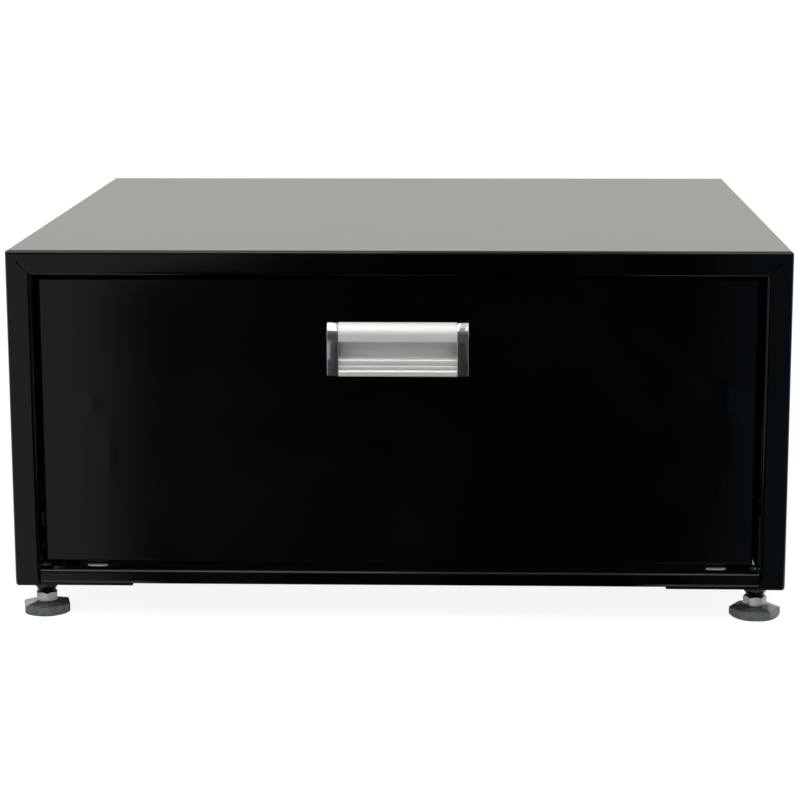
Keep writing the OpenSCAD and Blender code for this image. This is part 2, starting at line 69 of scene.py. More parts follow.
# Limits that keep a rounded outline free of double points: the largest cosine between two sides, the
# share of a side that its two arcs may take, and the smallest angle of an arc.
STRAIGHT = 0.9999
SIDE_SHARE = 0.998
LEAST_ARC = 1e-3

# The smallest length that anything is divided by.
TINY = 1e-12


def fillet(points: np.ndarray, radii: np.ndarray, steps: int) -> np.ndarray:
    """Rounds the corners of a closed outline.

    Each corner becomes an arc tangent to both of its sides: with half angle h between the sides, the arc
    starts r / tan(h) from the corner and its centre lies r / sin(h) along the bisector. Points on the arc
    are the slerp of its two end radii. Where two arcs need more than the side between them, both shrink.

    Args:
        points: corners, shape (n, 2), in order.
        radii: arc radius of each corner, shape (n,), above 0.
        steps: points on each arc.

    Returns:
        The rounded outline, shape (n * steps, 2).
    """
    to_last = np.roll(points, 1, axis=0) - points
    to_next = np.roll(points, -1, axis=0) - points
    a = to_last / np.linalg.norm(to_last, axis=1, keepdims=True)
    b = to_next / np.linalg.norm(to_next, axis=1, keepdims=True)
    half = np.arccos(np.clip((a * b).sum(1), -STRAIGHT, STRAIGHT)) / 2
    reach = radii / np.tan(half)
    fit = np.minimum(1.0, SIDE_SHARE * np.linalg.norm(to_next, axis=1) / (reach + np.roll(reach, -1)))
    r = radii * np.minimum(fit, np.roll(fit, 1))
    bis = a + b
    bis /= np.linalg.norm(bis, axis=1, keepdims=True)
    centre = points + bis * (r / np.sin(half))[:, None]
    touch = (r / np.tan(half))[:, None]
    start = (points + a * touch - centre) / r[:, None]
    end = (points + b * touch - centre) / r[:, None]
    span = np.maximum(np.pi - 2 * half, LEAST_ARC)[:, None, None]
    s = np.linspace(0, 1, steps)[None, :, None]
    arc = (np.sin((1 - s) * span) * start[:, None] + np.sin(s * span) * end[:, None]) / np.sin(span)
    return (centre[:, None] + r[:, None, None] * arc).reshape(-1, 2)


def inset(outline: np.ndarray, by: float) -> np.ndarray:
    """Moves each point of a closed outline inwards along its own normal.

    The normal is the tangent between the two neighbours turned a quarter, and its side is the one that
    makes the enclosed area smaller.

    Args:
        outline: points, shape (n, 2).
        by: distance in metres.

    Returns:
        The moved points, shape (n, 2).
    """
    tangent = np.roll(outline, -1, axis=0) - np.roll(outline, 1, axis=0)
    tangent /= np.maximum(np.linalg.norm(tangent, axis=1, keepdims=True), TINY)
    x, y = outline.T
    turn = 1.0 if np.sum(x * np.roll(y, -1) - y * np.roll(x, -1)) > 0 else -1.0
    return outline + by * turn * np.stack([-tangent[:, 1], tangent[:, 0]], 1)


def along_x(x: np.ndarray, rings: np.ndarray) -> np.ndarray:
    """Stands outlines of (y, z), shape (rings, around, 2), along X, each at its own x."""
    return np.concatenate([np.repeat(x[:, None, None], rings.shape[1], axis=1), rings], axis=2)


def grid_mesh(name: str, grid: np.ndarray) -> Object:
    """Makes a closed mesh of a grid of points that goes round along its second axis.

    Quads join each ring to the next, and one face closes each of the two end rings.

    Args:
        name: name of the object.
        grid: points, shape (rings, around, 3).

    Returns:
        The object, linked to the scene.
    """
    rings, around, _ = grid.shape
    first = np.arange(rings - 1)[:, None] * around
    j = np.arange(around)[None, :]
    j2 = (j + 1) % around
    quads = np.stack([first + j, first + j2, first + around + j2, first + around + j], -1).reshape(-1, 4)
    last = (rings - 1) * around
    faces = [*quads.tolist(), list(range(around))[::-1], list(range(last, last + around))]
    mesh = bpy.data.meshes.new(name)
    mesh.from_pydata(grid.reshape(-1, 3).tolist(), [], faces)
    mesh.validate()
    obj = bpy.data.objects.new(name, mesh)
    bpy.context.scene.collection.objects.link(obj)
    outwards(obj)
    return obj


def outwards(obj: Object) -> None:
    """Turns every face of a closed mesh outwards, by the sign of the volume that it encloses.

    Args:
        obj: object of the mesh.
    """
    mesh = obj.data
    mesh.calc_loop_triangles()
    tris = np.zeros(len(mesh.loop_triangles) * 3, np.int32)
    mesh.loop_triangles.foreach_get("vertices", tris)
    co = np.zeros(len(mesh.vertices) * 3)
    mesh.vertices.foreach_get("co", co)
    p = co.reshape(-1, 3)[tris.reshape(-1, 3)]
    if np.einsum("ij,ij->i", p[:, 0], np.cross(p[:, 1], p[:, 2])).sum() < 0:
        mesh.flip_normals()


def shade(obj: Object, angle: float) -> None:
    """Shades a mesh smooth, and sharp over edges that bend by more than an angle.

    Args:
        obj: object of the mesh.
        angle: the bend in degrees.
    """
    mesh = obj.data
    mesh.polygons.foreach_set("use_smooth", np.ones(len(mesh.polygons), bool))
    mesh.set_sharp_from_angle(angle=math.radians(angle))
    mesh.update()


# ------------ shared shader effects

# Sockets of a Mix node for colours: factor, first and second colour, and result.
MIX_FACTOR, MIX_A, MIX_B, MIX_RESULT = 0, 6, 7, 2


class Bench:
    """Short calls for building one node tree."""

    def __init__(self, tree: Tree) -> None:
        """Keeps the tree that nodes are added to."""
        self.tree = tree

    def add(self, kind: str, links: dict | None = None, **settings: object) -> Node:
        """Adds a node.

        Args:
            kind: node type without the leading "ShaderNode".
            links: input name or index to the value or output socket that feeds it.
            settings: properties of the node itself.

        Returns:
            The node.
        """
        node = self.tree.nodes.new("ShaderNode" + kind)
        for key, value in settings.items():
            setattr(node, key, value)
        for key, value in (links or {}).items():
            self.feed(node.inputs[key], value)
        return node

    def feed(self, socket: Socket, value: object) -> None:
        """Sets an input to a plain value, or links an output socket to it."""
        if isinstance(value, Socket):
            self.tree.links.new(value, socket)
        else:
            socket.default_value = value

    def math(self, operation: str, *values: object, clamp: bool = False) -> Socket:
        """Adds a Math node and returns its output."""
        node = self.add("Math", dict(enumerate(values)), operation=operation, use_clamp=clamp)
        return node.outputs[0]

    def ramp(
        self, value: Socket, low: float, high: float, to_low: float = 0.0, to_high: float = 1.0
    ) -> Socket:
        """Maps low..high smoothly to to_low..to_high, clamped."""
        ends = {"Value": value, "From Min": low, "From Max": high, "To Min": to_low, "To Max": to_high}
        return self.add("MapRange", ends, interpolation_type="SMOOTHSTEP").outputs["Result"]

    def curve(self, value: Socket, first: Ramp, *more: Ramp) -> Socket:
        """Adds up several ramps of one value.

        Args:
            value: what is mapped.
            first: one ramp, as (low, high, to_low, to_high).
            more: the others.

        Returns:
            The sum's socket.
        """
        total = self.ramp(value, *first)
        for step in more:
            total = self.math("ADD", total, self.ramp(value, *step))
        return total

    def position(self) -> Socket:
        """Reads Object coordinates, in metres."""
        return self.add("TexCoord").outputs["Object"]

    def axes(self) -> bpy.types.NodeOutputs:
        """Splits Object coordinates into the outputs X, Y and Z."""
        return self.add("SeparateXYZ", {0: self.position()}).outputs

    def noise(
        self, at: Socket, scale: Socket | float, detail: float, roughness: float = 0.5, warp: float = 0.0
    ) -> Socket:
        """Adds a noise of so many features per metre, whose value lies around 0.5."""
        fed = {"Vector": at, "Scale": scale, "Detail": detail, "Roughness": roughness, "Distortion": warp}
        return self.add("TexNoise", fed).outputs["Fac"]

    def place(self, name: str, **values: object) -> bpy.types.NodeOutputs:
        """Places a shared effect.

        Args:
            name: name of the effect.
            values: its inputs by name, each a value or an output socket.

        Returns:
            The effect's outputs.
        """
        node = self.tree.nodes.new("ShaderNodeGroup")
        node.node_tree = effect(name)
        for key, value in values.items():
            self.feed(node.inputs[key.capitalize()], value)
        return node.outputs

    def tint(self, factor: Socket, a: Rgb, b: Rgb) -> Socket:
        """Mixes the colours a and b. The factor is the share of b."""
        links = {MIX_FACTOR: factor, MIX_A: (*a, 1), MIX_B: (*b, 1)}
        return self.add("Mix", links, data_type="RGBA").outputs[MIX_RESULT]

    def end(self, surface: Socket, kind: str = "OutputMaterial") -> None:
        """Feeds a shader to the tree's output node."""
        self.tree.links.new(surface, self.add(kind).inputs["Surface"])


def effect(name: str) -> Tree:
    """Finds a shared effect, or builds it on its first use.

    Args:
        name: name of the effect.

    Returns:
        Its node group.
    """
    found = bpy.data.node_groups.get(name)
    if found:
        return found
    tree = bpy.data.node_groups.new(name, "ShaderNodeTree")
    EFFECTS[name](tree)
    return tree


def sockets(tree: Tree, inputs: dict[str, float], outputs: list[str]) -> tuple[Node, Node]:
    """Gives a group its float inputs and outputs.

    Args:
        tree: the group.
        inputs: names of the inputs, each with its default.
        outputs: names of the outputs.

    Returns:
        The node that gives the inputs, and the node that takes the outputs.
    """
    for key, value in inputs.items():
        item = tree.interface.new_socket(name=key, in_out="INPUT", socket_type="NodeSocketFloat")
        item.default_value = value
    for key in outputs:
        tree.interface.new_socket(name=key, in_out="OUTPUT", socket_type="NodeSocketFloat")
    return tree.nodes.new("NodeGroupInput"), tree.nodes.new("NodeGroupOutput")


def orange_peel(tree: Tree) -> None:
    """Sprayed paint: a fine noise, and a share of one that is three times longer."""
    given, out = sockets(tree, {"Scale": 350.0, "Long": 0.6}, ["Height"])
    b = Bench(tree)
    at = b.position()
    fine = b.noise(at, given.outputs["Scale"], detail=1.5, roughness=0.45)
    third = b.math("MULTIPLY", given.outputs["Scale"], 0.31)
    slow = b.noise(at, third, detail=1.0, roughness=0.4)
    lifted = b.math("MULTIPLY", slow, given.outputs["Long"])
    b.feed(out.inputs["Height"], b.math("ADD", fine, lifted))


def handling(tree: Tree) -> None:
    """Wipe marks and settled dust: broad smears plus a fine speckle, from 0 to 1."""
    given, out = sockets(tree, {"Scale": 6.0, "Speckle": 0.35}, ["Mask"])
    b = Bench(tree)
    at = b.position()
    turned = b.add("Mapping", {"Vector": at, "Rotation": (0.2, 0.5, 0.9), "Scale": (1.0, 2.6, 1.0)})
    smear = b.noise(turned.outputs[0], given.outputs["Scale"], detail=5.0, roughness=0.62, warp=0.7)
    speck = b.noise(at, 900.0, detail=2.0, roughness=0.7)
    dots = b.math("MULTIPLY", b.ramp(speck, 0.56, 0.74), given.outputs["Speckle"])
    b.feed(out.inputs["Mask"], b.math("ADD", b.ramp(smear, 0.38, 0.72), dots, clamp=True))


def drawn_lines(tree: Tree) -> None:
    """Lines left along X by a die: a noise drawn out 1 / Stretch times along X, and a slower one."""
    given, out = sockets(tree, {"Scale": 1400.0, "Stretch": 0.006}, ["Height", "Mask"])
    b = Bench(tree)
    at = b.position()
    pull = b.add("CombineXYZ", {0: given.outputs["Stretch"], 1: 1.0, 2: 1.0})
    laid = b.add("VectorMath", {0: at, 1: pull.outputs[0]}, operation="MULTIPLY").outputs[0]
    line = b.noise(laid, given.outputs["Scale"], detail=3.0, roughness=0.6)
    slow = b.noise(laid, b.math("MULTIPLY", given.outputs["Scale"], 0.12), detail=2.0)
    b.feed(out.inputs["Height"], line)
    b.feed(out.inputs["Mask"], b.ramp(slow, 0.35, 0.65))


def pock(tree: Tree) -> None:
    """One dent in a panel that faces Y: exp(-(dx / w)^2 - (dz / h)^2) around its centre."""
    given, out = sockets(tree, {"X": 0.0, "Z": 0.0, "Width": 0.01, "Height": 0.01}, ["Depth"])
    b = Bench(tree)
    at = b.axes()
    parts = []
    for axis, size in (("X", "Width"), ("Z", "Height")):
        away = b.math("SUBTRACT", at[axis], given.outputs[axis])
        scaled = b.math("DIVIDE", away, given.outputs[size])
        parts.append(b.math("MULTIPLY", scaled, scaled))
    fall = b.math("EXPONENT", b.math("MULTIPLY", b.math("ADD", *parts), -1.0))
    b.feed(out.inputs["Depth"], fall)


# Each effect's maker, which fills the empty group that it is given.
EFFECTS = {"Orange peel": orange_peel, "Handling": handling, "Drawn lines": drawn_lines, "Pock": pock}


# ------------ finishes


@dataclass(frozen=True)
class Finish:
    """A finish that is made into one material.

    Attributes:
        label: the material's name.
    """

    label: str

    def material(self) -> bpy.types.Material:
        """Builds the material, or finds the one already built under this label.

        Returns:
            The material.
        """
        found = bpy.data.materials.get(self.label)
        if found:
            return found
        made = bpy.data.materials.new(self.label)
        made.use_nodes = True
        made.node_tree.nodes.clear()
        b = Bench(made.node_tree)
        shader = b.add("BsdfPrincipled")
        b.end(shader.outputs[0])
        self.fill(b, shader.inputs)
        return made

    def fill(self, b: Bench, shader: Inputs) -> None:
        """Sets the shader's sockets. Each finish has its own way.

        Args:
            b: bench of the material.
            shader: the shader's inputs.
        """
        raise NotImplementedError

    def bump(self, b: Bench, shader: Inputs, *layers: tuple[Socket, float]) -> None:
        """Feeds Normal from heights, one over another.

        Args:
            b: bench of the material.
            shader: the shader's inputs.
            layers: (height socket, its full height in metres) of each.
        """
        normal: Socket | None = None
        for height, size in layers:
            links = {"Height": height, "Distance": size, "Strength": 1.0}
            if normal is not None:
                links["Normal"] = normal
            normal = b.add("Bump", links).outputs[0]
        b.feed(shader["Normal"], normal)


@dataclass(frozen=True)
class Enamel(Finish):
    """Gloss black stoved enamel on sheet steel.

    Attributes:
        colour: paint colour.
        dust: colour where it has been handled or dust has settled.
        roughness: least and most roughness, between clean and handled paint.
        ior: refractive index of the paint.
        peel: height of the sprayed paint's texture.
        wave: height of the panel's slow waviness.
        dents: (x, z, width, height, depth) of each dent of a panel that faces Y.
    """

    colour: Rgb = (0.0008, 0.0008, 0.0009)
    dust: Rgb = (0.0024, 0.0024, 0.0023)
    roughness: Pair = (0.07, 0.12)
    ior: float = 1.42
    peel: float = 0.0000035
    wave: float = 0.00012
    dents: tuple[tuple[float, float, float, float, float], ...] = ()

    def fill(self, b: Bench, shader: Inputs) -> None:
        """Paint over a wavy sheet: peel, waves and dents in the normal, wipe marks in the roughness."""
        marks = b.place("Handling", scale=5.0, speckle=0.25)["Mask"]
        b.feed(shader["Base Color"], b.tint(marks, self.colour, self.dust))
        b.feed(shader["Roughness"], b.ramp(marks, 0.0, 1.0, *self.roughness))
        b.feed(shader["IOR"], self.ior)
        peel = b.place("Orange peel", scale=420.0, long=0.5)["Height"]
        sheet = b.noise(b.position(), 9.0, detail=1.0, roughness=0.4)
        layers = [(sheet, self.wave), (peel, self.peel)]
        for x, z, width, height, depth in self.dents:
            layers.append((b.place("Pock", x=x, z=z, width=width, height=height)["Depth"], depth))
        self.bump(b, shader, *layers)


@dataclass(frozen=True)
class Plated(Finish):
    """Zinc plated steel, slightly cloudy.

    Attributes:
        colour: colour of the clean plating.
        cloud: colour where it has dulled.
        roughness: least and most roughness.
        grain: scale of the cloudiness, per metre.
        crystal: height of the plating's fine grain.
    """

    colour: Rgb = (0.66, 0.68, 0.68)
    cloud: Rgb = (0.5, 0.52, 0.52)
    roughness: Pair = (0.24, 0.4)
    grain: float = 55.0
    crystal: float = 0.000006

    def fill(self, b: Bench, shader: Inputs) -> None:
        """A metal whose colour and roughness follow the same clouds, under a fine crystalline grain."""
        at = b.position()
        mask = b.ramp(b.noise(at, self.grain, detail=4.0, roughness=0.6), 0.35, 0.7)
        b.feed(shader["Metallic"], 1.0)
        b.feed(shader["Base Color"], b.tint(mask, self.colour, self.cloud))
        b.feed(shader["Roughness"], b.ramp(mask, 0.0, 1.0, *self.roughness))
        self.bump(b, shader, (b.noise(at, 1600.0, detail=2.0), self.crystal))


@dataclass(frozen=True)
class Extruded(Finish):
    """Satin anodised aluminium with the die's lines along X.

    Attributes:
        colour: colour of the metal.
        dulling: share of the colour that the duller lines keep.
        metallic: share of the light that it mirrors; the etched skin scatters the rest.
        roughness: least and most roughness.
        line: height of the die's lines.
    """

    colour: Rgb = (0.9, 0.91, 0.88)
    dulling: float = 0.95
    metallic: float = 0.5
    roughness: Pair = (0.36, 0.46)
    line: float = 0.000005

    def fill(self, b: Bench, shader: Inputs) -> None:
        """Lines in colour, roughness and normal, all along the same direction."""
        lines = b.place("Drawn lines", scale=1500.0, stretch=0.005)
        dull = tuple(c * self.dulling for c in self.colour)
        b.feed(shader["Metallic"], self.metallic)
        b.feed(shader["Base Color"], b.tint(lines["Mask"], self.colour, dull))
        b.feed(shader["Roughness"], b.ramp(lines["Height"], 0.3, 0.7, *self.roughness))
        self.bump(b, shader, (lines["Height"], self.line))


@dataclass(frozen=True)
class Bright(Finish):
    """Bright plating or polished steel.

    Attributes:
        colour: colour of the metal.
        touched: share of the colour that touched metal keeps.
        metallic: share of the light that it mirrors; its haze scatters the rest.
        roughness: least and most roughness, between wiped and touched.
        ripple: height of the surface's slow ripple.
    """

    colour: Rgb = (0.62, 0.62, 0.64)
    touched: float = 0.93
    metallic: float = 1.0
    roughness: Pair = (0.03, 0.11)
    ripple: float = 0.00001

    def fill(self, b: Bench, shader: Inputs) -> None:
        """A mirror with touch marks and a slow ripple."""
        marks = b.place("Handling", scale=60.0, speckle=0.2)["Mask"]
        dull = tuple(c * self.touched for c in self.colour)
        b.feed(shader["Metallic"], self.metallic)
        b.feed(shader["Base Color"], b.tint(marks, self.colour, dull))
        b.feed(shader["Roughness"], b.ramp(marks, 0.0, 1.0, *self.roughness))
        self.bump(b, shader, (b.noise(b.position(), 120.0, detail=1.0), self.ripple))


@dataclass(frozen=True)
class Moulded(Finish):
    """Moulded plastic or rubber with a fine spark-eroded skin.

    Attributes:
        colour: colour of the clean surface.
        worn: colour where it is scuffed or dusty.
        wear: how far the scuffs go towards that colour.
        roughness: least and most roughness.
        skin: height of the skin's grain.
        grain: scale of the grain, per metre.
    """

    colour: Rgb = (0.07, 0.085, 0.088)
    worn: Rgb = (0.13, 0.14, 0.14)
    wear: float = 0.55
    roughness: Pair = (0.18, 0.34)
    skin: float = 0.000004
    grain: float = 1500.0

    def fill(self, b: Bench, shader: Inputs) -> None:
        """Scuffs in colour and roughness, and a grained skin."""
        marks = b.place("Handling", scale=70.0, speckle=0.5)["Mask"]
        b.feed(shader["Base Color"], b.tint(b.math("MULTIPLY", marks, self.wear), self.colour, self.worn))
        b.feed(shader["Roughness"], b.ramp(marks, 0.0, 1.0, *self.roughness))
        peel = b.place("Orange peel", scale=self.grain, long=0.4)["Height"]
        self.bump(b, shader, (peel, self.skin))


@dataclass(frozen=True)
class PowderCoat(Finish):
    """Graphite powder coat of the tray, finely textured.

    Attributes:
        colour: coat colour.
        soiled: colour where it has been rubbed.
        roughness: least and most roughness.
        texture: height of the coat's peel.
    """

    colour: Rgb = (0.05, 0.052, 0.055)
    soiled: Rgb = (0.075, 0.077, 0.079)
    roughness: Pair = (0.36, 0.52)
    texture: float = 0.00003

    def fill(self, b: Bench, shader: Inputs) -> None:
        """A coarse peel with soft rubbed patches."""
        marks = b.place("Handling", scale=4.0, speckle=0.3)["Mask"]
        b.feed(shader["Base Color"], b.tint(marks, self.colour, self.soiled))
        b.feed(shader["Roughness"], b.ramp(marks, 0.0, 1.0, *self.roughness))
        peel = b.place("Orange peel", scale=900.0, long=0.8)["Height"]
        self.bump(b, shader, (peel, self.texture))


# Dents of the drawer front, each (x, z, width, height, depth). The last is a long shallow hollow over its
# lower edge.
FRONT_DENTS = (
    (0.2534, 0.174, 0.006, 0.009, 0.0003),
    (0.2489, 0.106, 0.0035, 0.006, 0.00018),
    (0.262, 0.13, 0.016, 0.05, 0.0005),
    (-0.2382, 0.168, 0.006, 0.009, 0.0001),
    (-0.225, 0.128, 0.006, 0.03, 0.00008),
    (-0.1215, 0.067, 0.009, 0.005, 0.00015),
    (-0.0027, 0.064, 0.012, 0.006, 0.00015),
    (0.1383, 0.0626, 0.008, 0.005, 0.00012),
    (-0.04, 0.107, 0.006, 0.005, 0.0001),
    (0.0, 0.044, 0.5, 0.018, 0.0011),
)

FRONT_ENAMEL = Enamel("Drawer front enamel", wave=0.00022, dents=FRONT_DENTS)
# A darker copy of the zinc plate, worn by the lock nuts only.
DARKER_ZINC = Plated("Darker zinc", colour=(0.38, 0.395, 0.39), cloud=(0.27, 0.285, 0.28))


class Slot(Enum):
    """The material slots, each with its name and finish."""

    BLACK = ("black_enamel", Enamel("Black enamel"))
    ZINC = ("zinc_plate", Plated("Zinc plate"))
    BALLS = ("bearing_steel", Bright("Bearing steel"))
    TRAY = ("tray_steel", PowderCoat("Tray coat"))
    ALUMINIUM = ("satin_aluminium", Extruded("Satin aluminium"))
    CHROME = ("bright_cap", Bright("Bright cap", colour=(0.62, 0.62, 0.61), metallic=0.94))
    NYLON = ("white_nylon", Moulded("White nylon", colour=(0.93, 0.93, 0.9), worn=(0.85, 0.84, 0.8)))
    RUBBER = (
        "black_rubber",
        Moulded("Black rubber", colour=(0.02, 0.02, 0.02), worn=(0.07, 0.07, 0.07), roughness=(0.55, 0.8)),
    )
    FOOT = ("grey_foot_plastic", Moulded("Foot plastic"))

    def __init__(self, slot: str, finish: Finish) -> None:
        """Splits the pair into the slot's name and its finish."""
        self.slot = slot
        self.finish = finish


def dress(finish: Finish, *names: str) -> None:
    """Gives CAD nodes a finish, keeping their meshes.

    Args:
        finish: the finish.
        names: the nodes.
    """
    for name in names:
        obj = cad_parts[name]
        obj.data.materials.clear()
        obj.data.materials.append(finish.material())
        log.info("dressed %s in %s", name, finish.label)


def piece(obj: Object, slot: Slot, body: str, *nodes: str, angle: float) -> None:
    """Finishes a new piece: shading, the material of its slot's finish, body, and the CAD nodes that it
    stands for.

    Args:
        obj: the piece, at the origin, with its place in its mesh.
        slot: its slot and finish.
        body: the CAD body that it rides on.
        nodes: CAD nodes that it replaces.
        angle: bend in degrees over which an edge is sharp.
    """
    shade(obj, angle)
    obj.data.materials.append(slot.finish.material())
    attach(obj, body)
    if nodes:
        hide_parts(*nodes)
    log.info("made %s: %d faces", obj.name, len(obj.data.polygons))


# ------------ sub-assemblies


@dataclass
class Cabinet:
    """The enamelled box, its rails, plates and stiffeners.

    Attributes:
        black: nodes that share the box's enamel.
        plated: its zinc plated nodes.
    """

    black: tuple[str, ...] = (
        "cabinet_wrap", "front_rail", "rear_rail", "back_panel", "top_brace_front", "top_brace_rear",
        "floor_brace", "foot_plate_front_left", "foot_plate_front_right", "foot_plate_rear_left",
        "foot_plate_rear_right", "weld_nuts", "runner_bracket_left", "runner_bracket_right",
    )
    plated: tuple[str, ...] = ("back_screws", "runner_rivets", "runner_outer_left", "runner_outer_right")

    def build(self) -> None:
        """Dresses every fixed piece of the box."""
        dress(Slot.BLACK.finish, *self.black)
        dress(Slot.ZINC.finish, *self.plated)
        for side in SIDES:
            dress(Slot.NYLON.finish, f"glide_{side}")
            dress(Slot.RUBBER.finish, f"rear_bumper_{side}")


@dataclass
class Runners:
    """Moving sections of the two telescopic runners, their cages and balls.

    Attributes:
        plated: its zinc plated nodes, without the side.
        balls: its rows of balls, without the side.
    """

    plated: tuple[str, ...] = ("runner_middle", "runner_inner", "cage_outer", "cage_inner")
    balls: tuple[str, ...] = ("balls_outer", "balls_inner")

    def build(self) -> None:
        """Dresses the moving sections."""
        for side in SIDES:
            dress(Slot.ZINC.finish, *(f"{name}_{side}" for name in self.plated))
            dress(Slot.BALLS.finish, *(f"{name}_{side}" for name in self.balls))


@dataclass
class Drawer:
    """The drawer's front, tray and fixings.

    Attributes:
        tray: nodes of the tray.
        plated: its zinc plated nodes.
    """

    tray: tuple[str, ...] = ("drawer_tray", "tray_back")
    plated: tuple[str, ...] = ("front_bracket_left", "front_bracket_right", "drawer_screws", "handle_clips")

    def build(self) -> None:
        """Dresses the drawer."""
        dress(FRONT_ENAMEL, "drawer_front")
        dress(Slot.BLACK.finish, "drawer_liner")
        dress(Slot.TRAY.finish, *self.tray)
        dress(Slot.ZINC.finish, *self.plated)


@dataclass
class FlushPull:
    """The aluminium pull and its two bright end caps.

    Attributes:
        face_y: the drawer front's outer face.
        low_z: lower edge of the pull.
        half: half the pull's length.
        cap: length of an end cap.
        edge: radius of a cap's rounded ends.
        edge_rings: rings over each of those.
        taper: share of a cap's depth that is lost towards its outer end.
        arc: points on each rounded corner of the profile.
        cap_arc: the same of a cap.
        hood: front of the hood, which the profile and its caps share.
    """

    face_y: float = -0.270
    low_z: float = 0.1918
    half: float = 0.0545
    cap: float = 0.009
    edge: float = 0.0007
    edge_rings: int = 6
    taper: float = 0.1
    arc: int = 9
    cap_arc: int = 12
    hood: tuple[Bend, ...] = ((-0.01, 42.1, 0.1), (-3.2, 38.6, 20.0), (-6.25, 33.4, 14.0))

    def outline(self, corners: list[Bend], steps: int) -> np.ndarray:
        """Rounds the corners of a section and places it on the drawer front.

        Args:
            corners: its corners.
            steps: points on each arc.

        Returns:
            The section's (y, z), in metres.
        """
        c = np.array(corners) / 1000
        flat = fillet(c[:, :2], c[:, 2], steps)
        return flat + np.array([self.face_y, self.low_z])

    def profile(self) -> Object:
        """The extrusion: its section carried straight along X between the caps.

        Returns:
            The profile.
        """
        corners = [
            *self.hood, (-6.47, 27.4, 0.7), (-5.6, 27.4, 0.4), (-4.5, 29.8, 1.0), (-2.4, 33.4, 2.0),
            (3.2, 34.0, 3.0), (7.8, 29.5, 4.5), (7.8, 15.2, 7.3), (0.3, 14.9, 2.0), (-3.6, 13.1, 2.6),
            (-3.6, 9.7, 0.2), (-2.5, 9.5, 0.1), (-2.5, 8.8, 0.1), (-3.9, 8.7, 0.9),
            (-4.3, 6.4, 0.2), (-3.2, 6.2, 0.1), (-3.2, 5.6, 0.1), (-6.4, 5.3, 2.1),
            (-6.4, 1.2, 0.4), (-5.8, 0.6, 0.3), (-0.01, 0.6, 0.1), (-0.01, 4.3, 0.1),
            (1.6, 4.3, 0.4), (9.2, 14.0, 1.0), (9.2, 37.0, 1.0), (7.4, 39.4, 0.5), (-0.01, 39.4, 0.1),
        ]
        ring = self.outline(corners, self.arc)
        x = np.array([-self.half + self.cap, self.half - self.cap])
        return grid_mesh("pull_profile", along_x(x, np.repeat(ring[None], 2, axis=0)))

    def end_cap(self, side: int) -> Object:
        """One cap: a convex section carried along X, drawn in at both ends by a quarter circle.

        Its depth falls evenly, by the share taper, towards the outer end.

        Args:
            side: 1 for the right cap, -1 for the left.

        Returns:
            The cap.
        """
        corners = [
            *self.hood, (-6.6, 27.0, 3.0), (-6.7, 13.0, 24.0), (-5.6, 1.6, 1.0), (-4.9, 0.6, 0.3),
            (-0.02, 0.6, 0.1),
        ]
        ring = self.outline(corners, self.cap_arc)
        a = np.linspace(0, np.pi / 2, self.edge_rings)
        rise, fall = self.edge * (1 - np.cos(a)), self.edge * (1 - np.sin(a))
        along = np.concatenate([rise, self.cap - fall])
        rings = np.stack([inset(ring, float(v)) for v in np.concatenate([fall, rise])])
        thinned = (1 - self.taper * along / self.cap)[:, None]
        rings[..., 0] = self.face_y + (rings[..., 0] - self.face_y) * thinned
        x = side * (self.half - self.cap + along)
        return grid_mesh("pull_cap_" + ("right" if side > 0 else "left"), along_x(x, rings))

    def build(self) -> None:
        """Makes the pull, in place of its three plain solids."""
        piece(self.profile(), Slot.ALUMINIUM, "drawer", "handle_profile", angle=25)
        for side, word in ((1, "right"), (-1, "left")):
            piece(self.end_cap(side), Slot.CHROME, "drawer", f"handle_cap_{word}", angle=40)


